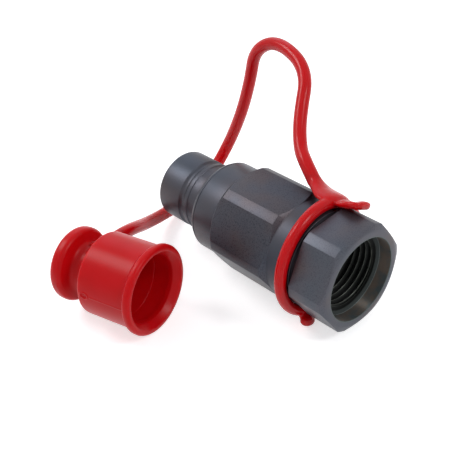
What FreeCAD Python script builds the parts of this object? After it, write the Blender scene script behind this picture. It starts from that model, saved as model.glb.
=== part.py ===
import FreeCAD, Part
import math
import os
import re

import Sketcher

# A plug half of a flat-face hydraulic quick coupler, with its dust cap on a moulded lanyard.
# Millimetres. The origin is the centre of the port face, +X points out of the port along the
# coupler's axis, the nose points to -X, and +Z is up with one pair of hexagon flats level.
# Places along the axis are written as distances behind the port face and used with a minus sign.

Vector = FreeCAD.Vector
Rotation = FreeCAD.Rotation
Placement = FreeCAD.Placement

X_AXIS = Vector(1, 0, 0)
Z_AXIS = Vector(0, 0, 1)

SIZES = {
    # How far the cutters run past a piece
    "cut_reach": 20.0,
    "cut_length": 200.0,
    # Both hexagons are cut from the same bar, with their corners turned off
    "hex_flats": 27.0,
    "hex_corner_radius": 14.85,
    # Port end
    "port_hex_length": 11.0,
    "port_face_radius": 13.1,
    "port_chamfer_length": 0.78,
    "mouth_radius": 11.45,
    "mouth_depth": 3.6,
    "thread_crest_radius": 9.32,
    "thread_lead_radius": 10.5,
    "thread_lead_length": 0.9,
    "thread_start_length": 0.3,
    "thread_end": 16.6,
    "flow_radius": 7.2,
    "flow_cone_length": 1.6,
    # Spigot of the port adapter, screwed into the nose body
    "spigot_radius": 12.0,
    "spigot_end": 17.6,
    "spigot_lead": 0.4,
    "pilot_radius": 10.0,
    "pilot_end": 23.5,
    "pilot_lead": 0.4,
    "screw_clearance": 0.03,
    "pilot_clearance": 0.05,
    # Ring groove of the body seal on the pilot
    "gland_start": 18.9,
    "gland_length": 3.0,
    "gland_floor_radius": 8.65,
    "body_seal_width": 1.96,
    "body_seal_edge": 0.5,
    "backup_width": 1.0,
    "seal_clearance": 0.02,
    # Neck that carries the lanyard ring
    "neck_radius": 13.4,
    "neck_start": 20.3,
    "neck_edge": 0.3,
    # Front hexagon and the collar in front of it
    "hex_back": 21.34,
    "hex_front": 39.44,
    "collar_radius": 12.97,
    "collar_back": 41.3,
    "collar_front": 49.6,
    "collar_face_radius": 12.45,
    "collar_chamfer_length": 0.95,
    "collar_line_at": 48.37,
    "collar_line_depth": 0.2,
    "collar_line_width": 0.3,
    # Nose that enters the socket half
    "nose_end": 66.5,
    "nose_radius": 9.95,
    "nose_round": 0.6,
    "nose_root_radius": 9.75,
    "nose_root_start": 54.6,
    "nose_step_length": 0.15,
    "nose_root_fillet": 2.6,
    "ball_groove_at": 57.05,
    "ball_groove_depth": 0.52,
    "locking_ball_radius": 1.6,
    # Bores of the nose body
    "poppet_radius": 6.0,
    "poppet_clearance": 0.05,
    "nose_gland_inset": 3.2,
    "nose_gland_length": 4.0,
    "nose_gland_front": "=nose_end - nose_gland_inset",
    "nose_gland_back": "=nose_gland_front - nose_gland_length",
    "nose_gland_radius": 7.6,
    "nose_seal_width": 2.02,
    "nose_seal_edge": 0.5,
    "nose_backup_width": 0.97,
    "chamber_inset": 8.5,
    "chamber_front": "=nose_end - chamber_inset",
    "chamber_radius": 8.0,
    "guide_seat": 29.5,
    "clip_groove_front": 25.4,
    "clip_groove_length": 1.2,
    "clip_groove_radius": 10.9,
    "spigot_bore_end": 18.0,
    # Valve
    "flange_radius": 7.5,
    "flange_length": 2.5,
    "flange_notch_radius": 1.8,
    "flange_notch_count": 4,
    "face_edge": 0.2,
    "stem_radius": 2.5,
    "stem_fit": 0.02,
    "stem_thread_length": 3.0,
    "stem_front": "=chamber_front + stem_thread_length",
    "stem_back": 23.8,
    "stem_end_chamfer": 0.5,
    "stem_seal_radius": 3.75,
    "stem_seal_depth": 1.25,
    "stem_seal_edge": 0.35,
    "nut_flats": 8.0,
    "nut_height": 2.7,
    "seat_washer_bore": 4.8,
    "seat_washer_radius": 7.2,
    "seat_washer_height": 0.8,
    # Valve guide, its bush and its retaining ring
    "guide_radius": 10.0,
    "guide_hub_radius": 4.4,
    "guide_hub_front": 33.0,
    "guide_hole_radius": 1.7,
    "guide_hole_circle": 6.7,
    "guide_hole_count": 6,
    "bush_radius": 3.1,
    "bush_clearance": 0.05,
    "clip_height": 1.15,
    "clip_width": 1.85,
    "clip_opening": 34.0,
    "clip_eye_radius": 0.5,
    "clip_eye_setback": 5.0,
    # Spring of the valve
    "spring_wire_radius": 0.7,
    "spring_radius": 5.95,
    "spring_turns": 5.0,
    # Lanyard ring on the neck, with its strap, pull tab and nub
    "ring_at": 13.7,
    "ring_wire_radius": 1.5,
    "ring_clearance": 0.05,
    "ring_turn": 30.0,
    "strap_thickness": 2.1,
    "strap_floor_radius": 14.95,
    "strap_angle": 48.0,
    "strap_end": 20.0,
    "tab_bend_at": 12.4,
    "tab_bend_round": 3.0,
    "tab_tip_at": 5.0,
    "tab_rise": 1.15,
    "tab_half_width": 3.5,
    "tab_corner_round": 2.6,
    "tab_recess_depth": 0.3,
    "tab_rim": 1.0,
    "tab_recess_angle": 17.0,
    "recess_back_at": 11.0,
    "web_front_at": 11.8,
    "web_at": 14.4,
    "web_half_width": 5.4,
    "web_round": 1.2,
    "flare_at": 18.2,
    "flare_half_width": 3.1,
    "flare_round": 4.0,
    "root_half_width": 2.2,
    "root_start_at": 19.2,
    "nub_at": 11.3,
    "nub_centre_radius": 16.95,
    "nub_radius": 1.5,
    "nub_angle": 15.0,
    "nub_root_round": 0.75,
    "nub_round": 1.2,
    # Lanyard cord, and where it leaves the strap before the ring is turned
    "cord_radius": 1.85,
    "cord_exit_at": 23.0,
    "cord_exit_height": 17.6,
    "cord_exit_pitch": 36.87,
    "cord_first_run": 5.5,
    "cord_last_run": 3.6,
    # Dust cap, in its own frame: its axis is X, its mouth face is at 0 and its knob is at -X
    "cap_x": -40.26,
    "cap_y": -33.58,
    "cap_z": -3.93,
    "cap_turn": 14.58,
    "lip_radius": 12.45,
    "lip_length": 2.3,
    "lip_round": 0.95,
    "lip_mouth_radius": 10.85,
    "lip_mouth_length": 1.8,
    "bead_radius": 9.35,
    "bead_length": 1.2,
    "bead_slope": 0.8,
    "cap_fit": 0.1,
    "cap_step_at": 8.1,
    "cap_step_depth": 0.2,
    "cap_depth": 15.4,
    "cap_radius": 11.3,
    "cap_length": 17.6,
    "cap_back_round": 0.9,
    "cap_neck_radius": 6.3,
    "cap_neck_fillet": 1.2,
    "knob_front": 24.6,
    "knob_back": 28.4,
    "knob_radius": 10.35,
    "knob_front_round": 1.2,
    "knob_back_round": 1.9,
    "knob_dish_depth": 0.7,
    "cap_root_at": 21.06,
    "cap_root_height": 5.0,
    "cap_root_slope": 11.53,
    "cap_root_inner": 1.5,
    "cap_root_outer": 12.5,
    "cap_root_radius": 2.1,
    "gate_mark_at": 15.0,
    "gate_mark_angle": -9.0,
    "gate_mark_length": 1.3,
    "gate_mark_width": 0.7,
    "gate_mark_depth": 0.2,
}

# Route of the lanyard cord, from the strap on the neck ring to the root on the dust cap. It rises
# in a standing loop behind the coupler, comes down past the nose and ends behind the cap.
CORD_ROUTE = [
    (-31.9, 13.4, 19.3),
    (-36.4, 18.5, 24.2),
    (-41.6, 28.1, 32.9),
    (-56.1, 31.9, 35.7),
    (-64.8, 30.7, 30.9),
    (-67.8, 30.5, 20.0),
    (-72.2, 29.3, 7.0),
    (-78.9, 27.8, -6.7),
    (-79.0, 18.6, -14.2),
    (-76.0, 3.0, -14.3),
    (-71.8, -11.6, -10.2),
]

RING_RADIUS = "(neck_radius + ring_clearance + ring_wire_radius)"

doc = FreeCAD.newDocument("QuickCoupler")


# The sizes go into a spreadsheet, and every sub-part is bound to its cells
sheet = doc.addObject("Spreadsheet::Sheet", "Dims")
for row, alias in enumerate(SIZES, start=1):
    sheet.set(f"A{row}", alias)
    sheet.setAlias(f"B{row}", alias)
for row, size in enumerate(SIZES.values(), start=1):
    sheet.set(f"B{row}", str(size))
doc.recompute()


def bound(text):
    """Turns sheet aliases in a formula into references that other objects can follow."""
    return re.sub(r"[a-z][a-z_]+", lambda word: "Dims." + word[0] if word[0] in SIZES else word[0], text)


def value(text):
    """Number that a formula of sheet aliases stands for."""
    return float(sheet.evalExpression(text))


def new_body(name):
    body = doc.addObject("PartDesign::Body", name)
    body.Label = name
    return body


def origin_feature(body, role):
    return next(item for item in body.Origin.OriginFeatures if item.Role == role)


def new_sketch(body, name, plane="XZ_Plane"):
    sketch = body.newObject("Sketcher::SketchObject", name)
    sketch.AttachmentSupport = (origin_feature(body, plane), [""])
    sketch.MapMode = "FlatFace"
    return sketch


def pin_point(sketch, geometry, point, across, up):
    """Dimensions one point of a sketch from the sketch's origin, on its axis where it is zero."""
    for kind, axis, text in (("DistanceX", -2, across), ("DistanceY", -1, up)):
        if text == "0":
            sketch.addConstraint(Sketcher.Constraint("PointOnObject", geometry, point, axis))
            continue
        index = sketch.addConstraint(Sketcher.Constraint(kind, -1, 1, geometry, point, value(text)))
        sketch.setExpression(f"Constraints[{index}]", bound(text))


def set_radius(sketch, geometry, text):
    index = sketch.addConstraint(Sketcher.Constraint("Radius", geometry, value(text)))
    sketch.setExpression(f"Constraints[{index}]", bound(text))


def draw_outline(sketch, corners):
    """Draws a closed outline. A corner is (across, up) or (across, up, round), all formulas."""
    count = len(corners)
    points = [Vector(value(corner[0]), value(corner[1]), 0) for corner in corners]
    entry = []
    leave = []
    arcs = {}
    for i, corner in enumerate(corners):
        here = points[i]
        to_last = (points[i - 1] - here).normalize()
        to_next = (points[(i + 1) % count] - here).normalize()
        if len(corner) == 2:
            entry.append(here)
            leave.append(here)
            continue
        radius = value(corner[2])
        half = to_last.getAngle(to_next) / 2
        entry.append(here + to_last * (radius / math.tan(half)))
        leave.append(here + to_next * (radius / math.tan(half)))
        centre = here + (to_last + to_next).normalize() * (radius / math.sin(half))
        left_turn = to_last.cross(to_next).z < 0
        first, last = (entry[i], leave[i]) if left_turn else (leave[i], entry[i])
        angles = [math.atan2(end.y - centre.y, end.x - centre.x) for end in (first, last)]
        if angles[1] < angles[0]:
            angles[1] += 2 * math.pi
        arcs[i] = (Part.ArcOfCircle(Part.Circle(centre, Z_AXIS, radius), *angles), left_turn)
    sides = [
        sketch.addGeometry(Part.LineSegment(leave[i], entry[(i + 1) % count]), False) for i in range(count)
    ]
    for i, corner in enumerate(corners):
        before = sides[i - 1]
        after = sides[i]
        if i not in arcs:
            sketch.addConstraint(Sketcher.Constraint("Coincident", before, 2, after, 1))
            pin_point(sketch, after, 1, corner[0], corner[1])
            continue
        arc, left_turn = arcs[i]
        index = sketch.addGeometry(arc, False)
        start, end = (1, 2) if left_turn else (2, 1)
        sketch.addConstraint(Sketcher.Constraint("Tangent", before, 2, index, start))
        sketch.addConstraint(Sketcher.Constraint("Tangent", index, end, after, 1))
        set_radius(sketch, index, corner[2])
        apex = sketch.addGeometry(Part.Point(points[i]), True)
        sketch.addConstraint(Sketcher.Constraint("PointOnObject", apex, 1, before))
        sketch.addConstraint(Sketcher.Constraint("PointOnObject", apex, 1, after))
        pin_point(sketch, apex, 1, corner[0], corner[1])


def draw_circle(sketch, across, up, radius):
    circle = Part.Circle(Vector(value(across), value(up), 0), Z_AXIS, value(radius))
    index = sketch.addGeometry(circle, False)
    pin_point(sketch, index, 3, across, up)
    set_radius(sketch, index, radius)


def draw_ellipse(sketch, up, half_width, half_height, across="0"):
    centre = Vector(value(across), value(up), 0)
    side = centre + Vector(value(half_width), 0, 0)
    crown = centre + Vector(0, value(half_height), 0)
    index = sketch.addGeometry(Part.Ellipse(side, crown, centre), False)
    sketch.exposeInternalGeometry(index)
    pin_point(sketch, index, 3, across, up)
    sketch.addConstraint(Sketcher.Constraint("Horizontal", index + 1))
    for line, half in ((index + 1, half_width), (index + 2, half_height)):
        number = sketch.addConstraint(Sketcher.Constraint("Distance", line, 2 * value(half)))
        sketch.setExpression(f"Constraints[{number}]", bound(f"2 * ({half})"))


def draw_hexagon(sketch, flats):
    """Hexagon round the sketch's origin with two sides level, drawn by its distance across flats."""
    corner_radius = f"{flats} / 2 / cos(30 deg)"
    reach = value(corner_radius)
    corners = [
        Vector(reach * math.cos(math.radians(60 * i)), reach * math.sin(math.radians(60 * i)), 0)
        for i in range(6)
    ]
    first = None
    for i in range(6):
        index = sketch.addGeometry(Part.LineSegment(corners[i], corners[(i + 1) % 6]), False)
        first = index if first is None else first
    ring = sketch.addGeometry(Part.Circle(Vector(0, 0, 0), Z_AXIS, reach), True)
    sketch.addConstraint(Sketcher.Constraint("Coincident", ring, 3, -1, 1))
    set_radius(sketch, ring, corner_radius)
    for i in range(6):
        side = first + i
        sketch.addConstraint(Sketcher.Constraint("Coincident", side, 2, first + (i + 1) % 6, 1))
        sketch.addConstraint(Sketcher.Constraint("PointOnObject", side, 1, ring))
        if i:
            sketch.addConstraint(Sketcher.Constraint("Equal", first, side))
    sketch.addConstraint(Sketcher.Constraint("PointOnObject", first, 1, -1))


def turn(body, name, corners, angle="360"):
    """Turns an outline about the X axis, as a lathe would, or through part of a turn."""
    sketch = new_sketch(body, name + "_profile")
    draw_outline(sketch, corners)
    return turn_sketch(body, name, sketch, angle)


def turn_sketch(body, name, sketch, angle="360"):
    feature = body.newObject("PartDesign::Revolution", name)
    feature.Profile = sketch
    feature.ReferenceAxis = (sketch, ["H_Axis"])
    feature.Angle = value(angle)
    if angle != "360":
        feature.setExpression("Angle", bound(angle))
        feature.Midplane = True
    return feature


def cut_along(body, name, sketch):
    """Cuts a sketch away along the whole piece."""
    pocket = body.newObject("PartDesign::Pocket", name)
    pocket.Profile = sketch
    pocket.Midplane = True
    pocket.setExpression("Length", bound("cut_length"))
    return pocket


def cut_flats(body, flats):
    """Mills six flats: everything outside a hexagon is cut away."""
    sketch = new_sketch(body, "flats_profile", "YZ_Plane")
    draw_hexagon(sketch, flats)
    draw_circle(sketch, "0", "0", "cut_reach")
    cut_along(body, "flats", sketch)


def drill_pattern(body, name, radius, circle_radius, count):
    """Drills one hole parallel to the axis and repeats it round the axis."""
    sketch = new_sketch(body, name + "_profile", "YZ_Plane")
    draw_circle(sketch, "0", circle_radius, radius)
    pocket = cut_along(body, name, sketch)
    pattern = body.newObject("PartDesign::PolarPattern", name + "_round")
    pattern.Originals = [pocket]
    pattern.Axis = (origin_feature(body, "X_Axis"), [""])
    pattern.Angle = 360
    pattern.setExpression("Occurrences", bound(count))
    body.Tip = pattern


def plain_ring(name, front, back, inner, outer, edge=None):
    """Ring with a rectangular section. A seal's section has its four corners taken off."""
    body = new_body(name)
    if edge is None:
        section = [
            (f"-({front})", inner),
            (f"-({front})", outer),
            (f"-({back})", outer),
            (f"-({back})", inner),
        ]
    else:
        section = [
            (f"-({front} - {edge})", inner),
            (f"-({front})", f"{inner} + {edge}"),
            (f"-({front})", f"{outer} - {edge}"),
            (f"-({front} - {edge})", outer),
            (f"-({back} + {edge})", outer),
            (f"-({back})", f"{outer} - {edge}"),
            (f"-({back})", f"{inner} + {edge}"),
            (f"-({back} + {edge})", inner),
        ]
    turn(body, name + "_section", section)
    return body


def build_nose_body():
    """Nose, ball groove, collar, front hexagon and neck: one turned and milled bar."""
    body = new_body("nose_body")
    turn(body, "bar", [
        ("-nose_end", "poppet_radius + poppet_clearance"),
        ("-nose_end", "nose_radius", "nose_round"),
        ("-(nose_root_start + nose_step_length)", "nose_radius"),
        ("-nose_root_start", "nose_root_radius"),
        ("-collar_front", "nose_root_radius", "nose_root_fillet"),
        ("-collar_front", "collar_face_radius"),
        ("-(collar_front - collar_chamfer_length)", "collar_radius"),
        ("-(collar_line_at + collar_line_width / 2)", "collar_radius"),
        ("-collar_line_at", "collar_radius - collar_line_depth"),
        ("-(collar_line_at - collar_line_width / 2)", "collar_radius"),
        ("-collar_back", "collar_radius"),
        ("-hex_front", "hex_corner_radius"),
        ("-hex_back", "hex_corner_radius"),
        ("-neck_start", "neck_radius"),
        ("-(port_hex_length + neck_edge)", "neck_radius"),
        ("-port_hex_length", "neck_radius - neck_edge"),
        ("-port_hex_length", "spigot_radius + screw_clearance"),
        ("-spigot_bore_end", "spigot_radius + screw_clearance"),
        ("-spigot_bore_end", "pilot_radius + pilot_clearance"),
        ("-(clip_groove_front - clip_groove_length)", "pilot_radius + pilot_clearance"),
        ("-(clip_groove_front - clip_groove_length)", "clip_groove_radius"),
        ("-clip_groove_front", "clip_groove_radius"),
        ("-clip_groove_front", "pilot_radius + pilot_clearance"),
        ("-guide_seat", "pilot_radius + pilot_clearance"),
        ("-guide_seat", "chamber_radius"),
        ("-chamber_front", "chamber_radius"),
        ("-chamber_front", "poppet_radius + poppet_clearance"),
        ("-nose_gland_back", "poppet_radius + poppet_clearance"),
        ("-nose_gland_back", "nose_gland_radius"),
        ("-nose_gland_front", "nose_gland_radius"),
        ("-nose_gland_front", "poppet_radius + poppet_clearance"),
    ])
    cut_flats(body, "hex_flats")
    sketch = new_sketch(body, "ball_groove_profile")
    draw_circle(
        sketch,
        "-ball_groove_at",
        "nose_radius - ball_groove_depth + locking_ball_radius",
        "locking_ball_radius",
    )
    groove = body.newObject("PartDesign::Groove", "ball_groove")
    groove.Profile = sketch
    groove.ReferenceAxis = (sketch, ["H_Axis"])
    groove.Angle = 360
    return body


def build_port_adapter():
    """Rear hexagon with the female port, and the spigot that screws into the nose body."""
    body = new_body("port_adapter")
    turn(body, "bar", [
        ("0", "mouth_radius"),
        ("0", "port_face_radius"),
        ("-port_chamfer_length", "hex_corner_radius"),
        ("-port_hex_length", "hex_corner_radius"),
        ("-port_hex_length", "spigot_radius"),
        ("-(spigot_end - spigot_lead)", "spigot_radius"),
        ("-spigot_end", "spigot_radius - spigot_lead"),
        ("-spigot_end", "pilot_radius"),
        ("-gland_start", "pilot_radius"),
        ("-gland_start", "gland_floor_radius"),
        ("-(gland_start + gland_length)", "gland_floor_radius"),
        ("-(gland_start + gland_length)", "pilot_radius"),
        ("-(pilot_end - pilot_lead)", "pilot_radius"),
        ("-pilot_end", "pilot_radius - pilot_lead"),
        ("-pilot_end", "flow_radius"),
        ("-(thread_end + flow_cone_length)", "flow_radius"),
        ("-thread_end", "thread_crest_radius"),
        ("-(mouth_depth + thread_lead_length + thread_start_length)", "thread_crest_radius"),
        ("-(mouth_depth + thread_lead_length)", "thread_lead_radius"),
        ("-mouth_depth", "mouth_radius"),
    ])
    cut_flats(body, "hex_flats")
    return body


def build_poppet_head():
    """Flat face of the valve, flush with the nose, with a notched flange that stops in the body."""
    body = new_body("poppet_head")
    turn(body, "head", [
        ("-nose_end", "0"),
        ("-nose_end", "poppet_radius - face_edge"),
        ("-(nose_end - face_edge)", "poppet_radius"),
        ("-chamber_front", "poppet_radius"),
        ("-chamber_front", "flange_radius"),
        ("-(chamber_front - flange_length)", "flange_radius"),
        ("-(chamber_front - flange_length)", "stem_seal_radius"),
        ("-(chamber_front - flange_length + stem_seal_depth)", "stem_seal_radius"),
        ("-(chamber_front - flange_length + stem_seal_depth)", "stem_radius + stem_fit"),
        ("-stem_front", "stem_radius + stem_fit"),
        ("-stem_front", "0"),
    ])
    drill_pattern(
        body,
        "flow_notch",
        "flange_notch_radius",
        "flange_radius + flange_notch_radius / 4",
        "flange_notch_count",
    )
    return body


def build_poppet_stem():
    body = new_body("poppet_stem")
    turn(body, "rod", [
        ("-stem_front", "0"),
        ("-stem_front", "stem_radius"),
        ("-(stem_back + stem_end_chamfer)", "stem_radius"),
        ("-stem_back", "stem_radius - stem_end_chamfer"),
        ("-stem_back", "0"),
    ])
    return body


def build_stem_lock_nut():
    """Hexagon nut that locks the stem in the head and closes the stem seal's recess."""
    body = new_body("stem_lock_nut")
    face = "chamber_front - flange_length"
    turn(body, "blank", [
        (f"-({face})", "stem_radius + stem_fit"),
        (f"-({face})", "nut_flats / 2 / cos(30 deg)"),
        (f"-({face} - nut_height)", "nut_flats / 2 / cos(30 deg)"),
        (f"-({face} - nut_height)", "stem_radius + stem_fit"),
    ])
    cut_flats(body, "nut_flats")
    return body


def build_valve_guide():
    """Disc on a shoulder of the nose body, with a hub for the stem and holes for the oil."""
    body = new_body("valve_guide")
    turn(body, "disc", [
        ("-guide_hub_front", "bush_radius"),
        ("-guide_hub_front", "guide_hub_radius"),
        ("-guide_seat", "guide_hub_radius"),
        ("-guide_seat", "guide_radius"),
        ("-clip_groove_front", "guide_radius"),
        ("-clip_groove_front", "bush_radius"),
    ])
    drill_pattern(body, "oil_hole", "guide_hole_radius", "guide_hole_circle", "guide_hole_count")
    return body


def build_retaining_ring():
    """Spring clip in the groove behind the guide, open on one side, with an eye at each end."""
    body = new_body("guide_retaining_ring")
    back = "clip_groove_front - clip_height"
    turn(body, "clip", [
        ("-clip_groove_front", "clip_groove_radius - clip_width"),
        ("-clip_groove_front", "clip_groove_radius - pilot_clearance"),
        (f"-({back})", "clip_groove_radius - pilot_clearance"),
        (f"-({back})", "clip_groove_radius - clip_width"),
    ], "360 - clip_opening")
    eye_angle = "180 deg + (clip_opening / 2 + clip_eye_setback) * 1 deg"
    for side, sign in (("left", "-"), ("right", "")):
        sketch = new_sketch(body, side + "_eye_profile", "YZ_Plane")
        reach = "(clip_groove_radius - clip_width / 2)"
        draw_circle(sketch, f"{sign}{reach} * sin({eye_angle})", f"{reach} * cos({eye_angle})", "clip_eye_radius")
        cut_along(body, side + "_eye", sketch)
    return body


def swept_wire(points_and_arcs, start, direction, radius):
    """Round wire or cord along a path of straight runs and arcs."""
    path = Part.Wire(points_and_arcs)
    section = Part.Wire(Part.Circle(start, direction, radius).toShape())
    return path.makePipeShell([section], True, False, 0)


def build_valve_spring():
    """Coiled wire between the seat washer and the guide, laid in quarter-turn arcs."""
    wire = value("spring_wire_radius")
    radius = value("spring_radius")
    turns = value("spring_turns")
    front = -value("chamber_front - flange_length - seat_washer_height") + wire
    back = -value("guide_seat") - wire
    pitch = (back - front) / turns
    count = round(turns * 4)

    def point(quarters):
        angle = 2 * math.pi * turns * quarters / count
        along = front + pitch * turns * quarters / count
        return Vector(along, radius * math.cos(angle), radius * math.sin(angle))

    arcs = [Part.Arc(point(i), point(i + 0.5), point(i + 1)).toShape() for i in range(count)]
    spring = doc.addObject("Part::Feature", "valve_spring")
    spring.Label = "valve_spring"
    spring.Shape = swept_wire(arcs, point(0), Vector(pitch / (2 * math.pi), 0, radius), wire)
    return spring


def build_lanyard_ring():
    """Moulded ring on the neck, with the strap that carries the cord, a pull tab and a nub.

    It is drawn with its strap on top and then turned about the axis to where it sits.
    """
    body = new_body("lanyard_ring")
    top = "(strap_floor_radius + strap_thickness)"
    lift = "tab_rise / (tab_bend_at - tab_tip_at)"
    turn(body, "strap", [
        ("-strap_end", "strap_floor_radius"),
        ("-strap_end", top),
        ("-tab_bend_at", top, "tab_bend_round"),
        ("-tab_tip_at", f"{top} + tab_rise"),
        ("-tab_tip_at", "strap_floor_radius + tab_rise"),
        ("-tab_bend_at", "strap_floor_radius", "tab_bend_round"),
    ], "strap_angle")
    # Seen from above, the strap flares out of the cord, is widest on the ring and ends in a round tab
    plan = new_sketch(body, "strap_plan", "XY_Plane")
    draw_outline(plan, [
        ("-tab_tip_at", "tab_half_width", "tab_corner_round"),
        ("-web_front_at", "tab_half_width"),
        ("-web_at", "web_half_width", "web_round"),
        ("-flare_at", "flare_half_width", "flare_round"),
        ("-cord_exit_at", "root_half_width"),
        ("-cord_exit_at", "-root_half_width"),
        ("-flare_at", "-flare_half_width", "flare_round"),
        ("-web_at", "-web_half_width", "web_round"),
        ("-web_front_at", "-tab_half_width"),
        ("-tab_tip_at", "-tab_half_width", "tab_corner_round"),
    ])
    draw_outline(plan, [
        ("0", "cut_reach"),
        ("-(strap_end + cut_reach)", "cut_reach"),
        ("-(strap_end + cut_reach)", "-cut_reach"),
        ("0", "-cut_reach"),
    ])
    cut_along(body, "strap_trim", plan)
    # A shallow recess inside the tab's rim gives the thumb a hold
    recess = new_sketch(body, "tab_recess_profile")
    near = f"{top} + (tab_bend_at - recess_back_at) * {lift}"
    far = f"{top} + (tab_bend_at - tab_tip_at - tab_rim) * {lift}"
    draw_outline(recess, [
        ("-recess_back_at", f"{near} - tab_recess_depth"),
        ("-(tab_tip_at + tab_rim)", f"{far} - tab_recess_depth"),
        ("-(tab_tip_at + tab_rim)", f"{far} + tab_recess_depth"),
        ("-recess_back_at", f"{near} + tab_recess_depth"),
    ])
    groove = body.newObject("PartDesign::Groove", "tab_recess")
    groove.Profile = recess
    groove.ReferenceAxis = (recess, ["H_Axis"])
    groove.Angle = value("tab_recess_angle")
    groove.setExpression("Angle", bound("tab_recess_angle"))
    groove.Midplane = True
    section = new_sketch(body, "ring_section")
    draw_circle(section, "-ring_at", RING_RADIUS, "ring_wire_radius")
    turn_sketch(body, "ring", section)
    turn(body, "nub", [
        ("-ring_at", f"-{RING_RADIUS}"),
        ("-(nub_at - nub_radius)", "-(nub_centre_radius - nub_radius)", "nub_root_round"),
        ("-(nub_at - nub_radius)", "-(nub_centre_radius + nub_radius)", "nub_round"),
        ("-(nub_at + nub_radius)", "-(nub_centre_radius + nub_radius)", "nub_round"),
    ], "nub_angle")
    # The root of the cord: a loft from the strap's flat end to the round of the cord
    wide = new_sketch(body, "root_wide", "YZ_Plane")
    wide.AttachmentOffset = Placement(Vector(0, 0, -value("root_start_at")), Rotation())
    wide.setExpression("AttachmentOffset.Base.z", bound("-root_start_at"))
    draw_ellipse(wide, "strap_floor_radius + strap_thickness / 2", "root_half_width", "strap_thickness / 2")
    narrow = new_sketch(body, "root_narrow", "YZ_Plane")
    narrow.AttachmentOffset = Placement(
        Vector(0, value("cord_exit_height"), -value("cord_exit_at")),
        Rotation(X_AXIS, value("cord_exit_pitch")),
    )
    narrow.setExpression("AttachmentOffset.Base.y", bound("cord_exit_height"))
    narrow.setExpression("AttachmentOffset.Base.z", bound("-cord_exit_at"))
    narrow.setExpression("AttachmentOffset.Rotation.Angle", bound("cord_exit_pitch * 1 deg"))
    draw_circle(narrow, "0", "0", "cord_radius")
    root = body.newObject("PartDesign::AdditiveLoft", "cord_root")
    root.Profile = wide
    root.Sections = [narrow]
    body.Placement = Placement(Vector(0, 0, 0), Rotation(-X_AXIS, value("ring_turn")))
    body.setExpression("Placement.Rotation.Angle", bound("ring_turn * 1 deg"))
    return body


def build_dust_cap():
    """Soft cap for the nose: beaded lip, chamber with a retaining bead, neck, knob and cord root."""
    body = new_body("dust_cap")
    mouth = "lip_mouth_length + bead_length"
    chamber = "nose_radius + cap_fit"
    turn(body, "cap", [
        ("0", "lip_mouth_radius"),
        ("0", "lip_radius", "lip_round"),
        ("-lip_length", "lip_radius", "lip_round"),
        ("-lip_length", "cap_radius"),
        ("-cap_length", "cap_radius", "cap_back_round"),
        ("-cap_length", "cap_neck_radius"),
        ("-(knob_front - knob_dish_depth)", "cap_neck_radius", "cap_neck_fillet"),
        ("-knob_front", "knob_radius", "knob_front_round"),
        ("-knob_back", "knob_radius", "knob_back_round"),
        ("-knob_back", "0"),
        ("-cap_depth", "0"),
        ("-cap_depth", f"{chamber} - cap_step_depth"),
        ("-cap_step_at", f"{chamber} - cap_step_depth"),
        ("-cap_step_at", chamber),
        (f"-({mouth} + bead_slope)", chamber),
        (f"-({mouth})", "bead_radius"),
        ("-lip_mouth_length", "bead_radius"),
    ])
    # Root of the cord, moulded on the neck and aimed a little downwards
    root = body.newObject("PartDesign::AdditiveCone", "cord_root")
    slope = "cap_root_slope * 1 deg"
    root.setExpression("Radius1", bound("cap_root_radius"))
    root.setExpression("Radius2", bound("cord_radius"))
    root.setExpression("Height", bound(f"(cap_root_outer - cap_root_inner) / cos({slope})"))
    root.Placement = Placement(Vector(0, 0, 0), Rotation(X_AXIS, -90 - value("cap_root_slope")))
    root.setExpression("Placement.Base.x", bound("-cap_root_at"))
    root.setExpression("Placement.Base.y", bound("cap_root_inner"))
    root.setExpression("Placement.Base.z", bound(f"cap_root_height - cap_root_inner * tan({slope})"))
    # The gate mark: a shallow oval on the side of the cap
    mark = new_sketch(body, "gate_mark_profile")
    turned = Placement(Vector(0, 0, 0), Rotation(X_AXIS, value("gate_mark_angle")))
    mark.AttachmentOffset = turned * Placement(Vector(0, 0, value("cap_radius - gate_mark_depth")), Rotation())
    draw_ellipse(mark, "0", "gate_mark_length", "gate_mark_width", "-gate_mark_at")
    pocket = body.newObject("PartDesign::Pocket", "gate_mark")
    pocket.Profile = mark
    pocket.Reversed = True
    pocket.setExpression("Length", bound("cap_radius"))
    body.Placement = Placement(
        Vector(value("cap_x"), value("cap_y"), value("cap_z")), Rotation(Z_AXIS, value("cap_turn"))
    )
    for axis in "xyz":
        body.setExpression(f"Placement.Base.{axis}", bound(f"cap_{axis}"))
    body.setExpression("Placement.Rotation.Angle", bound("cap_turn * 1 deg"))
    return body


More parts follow.
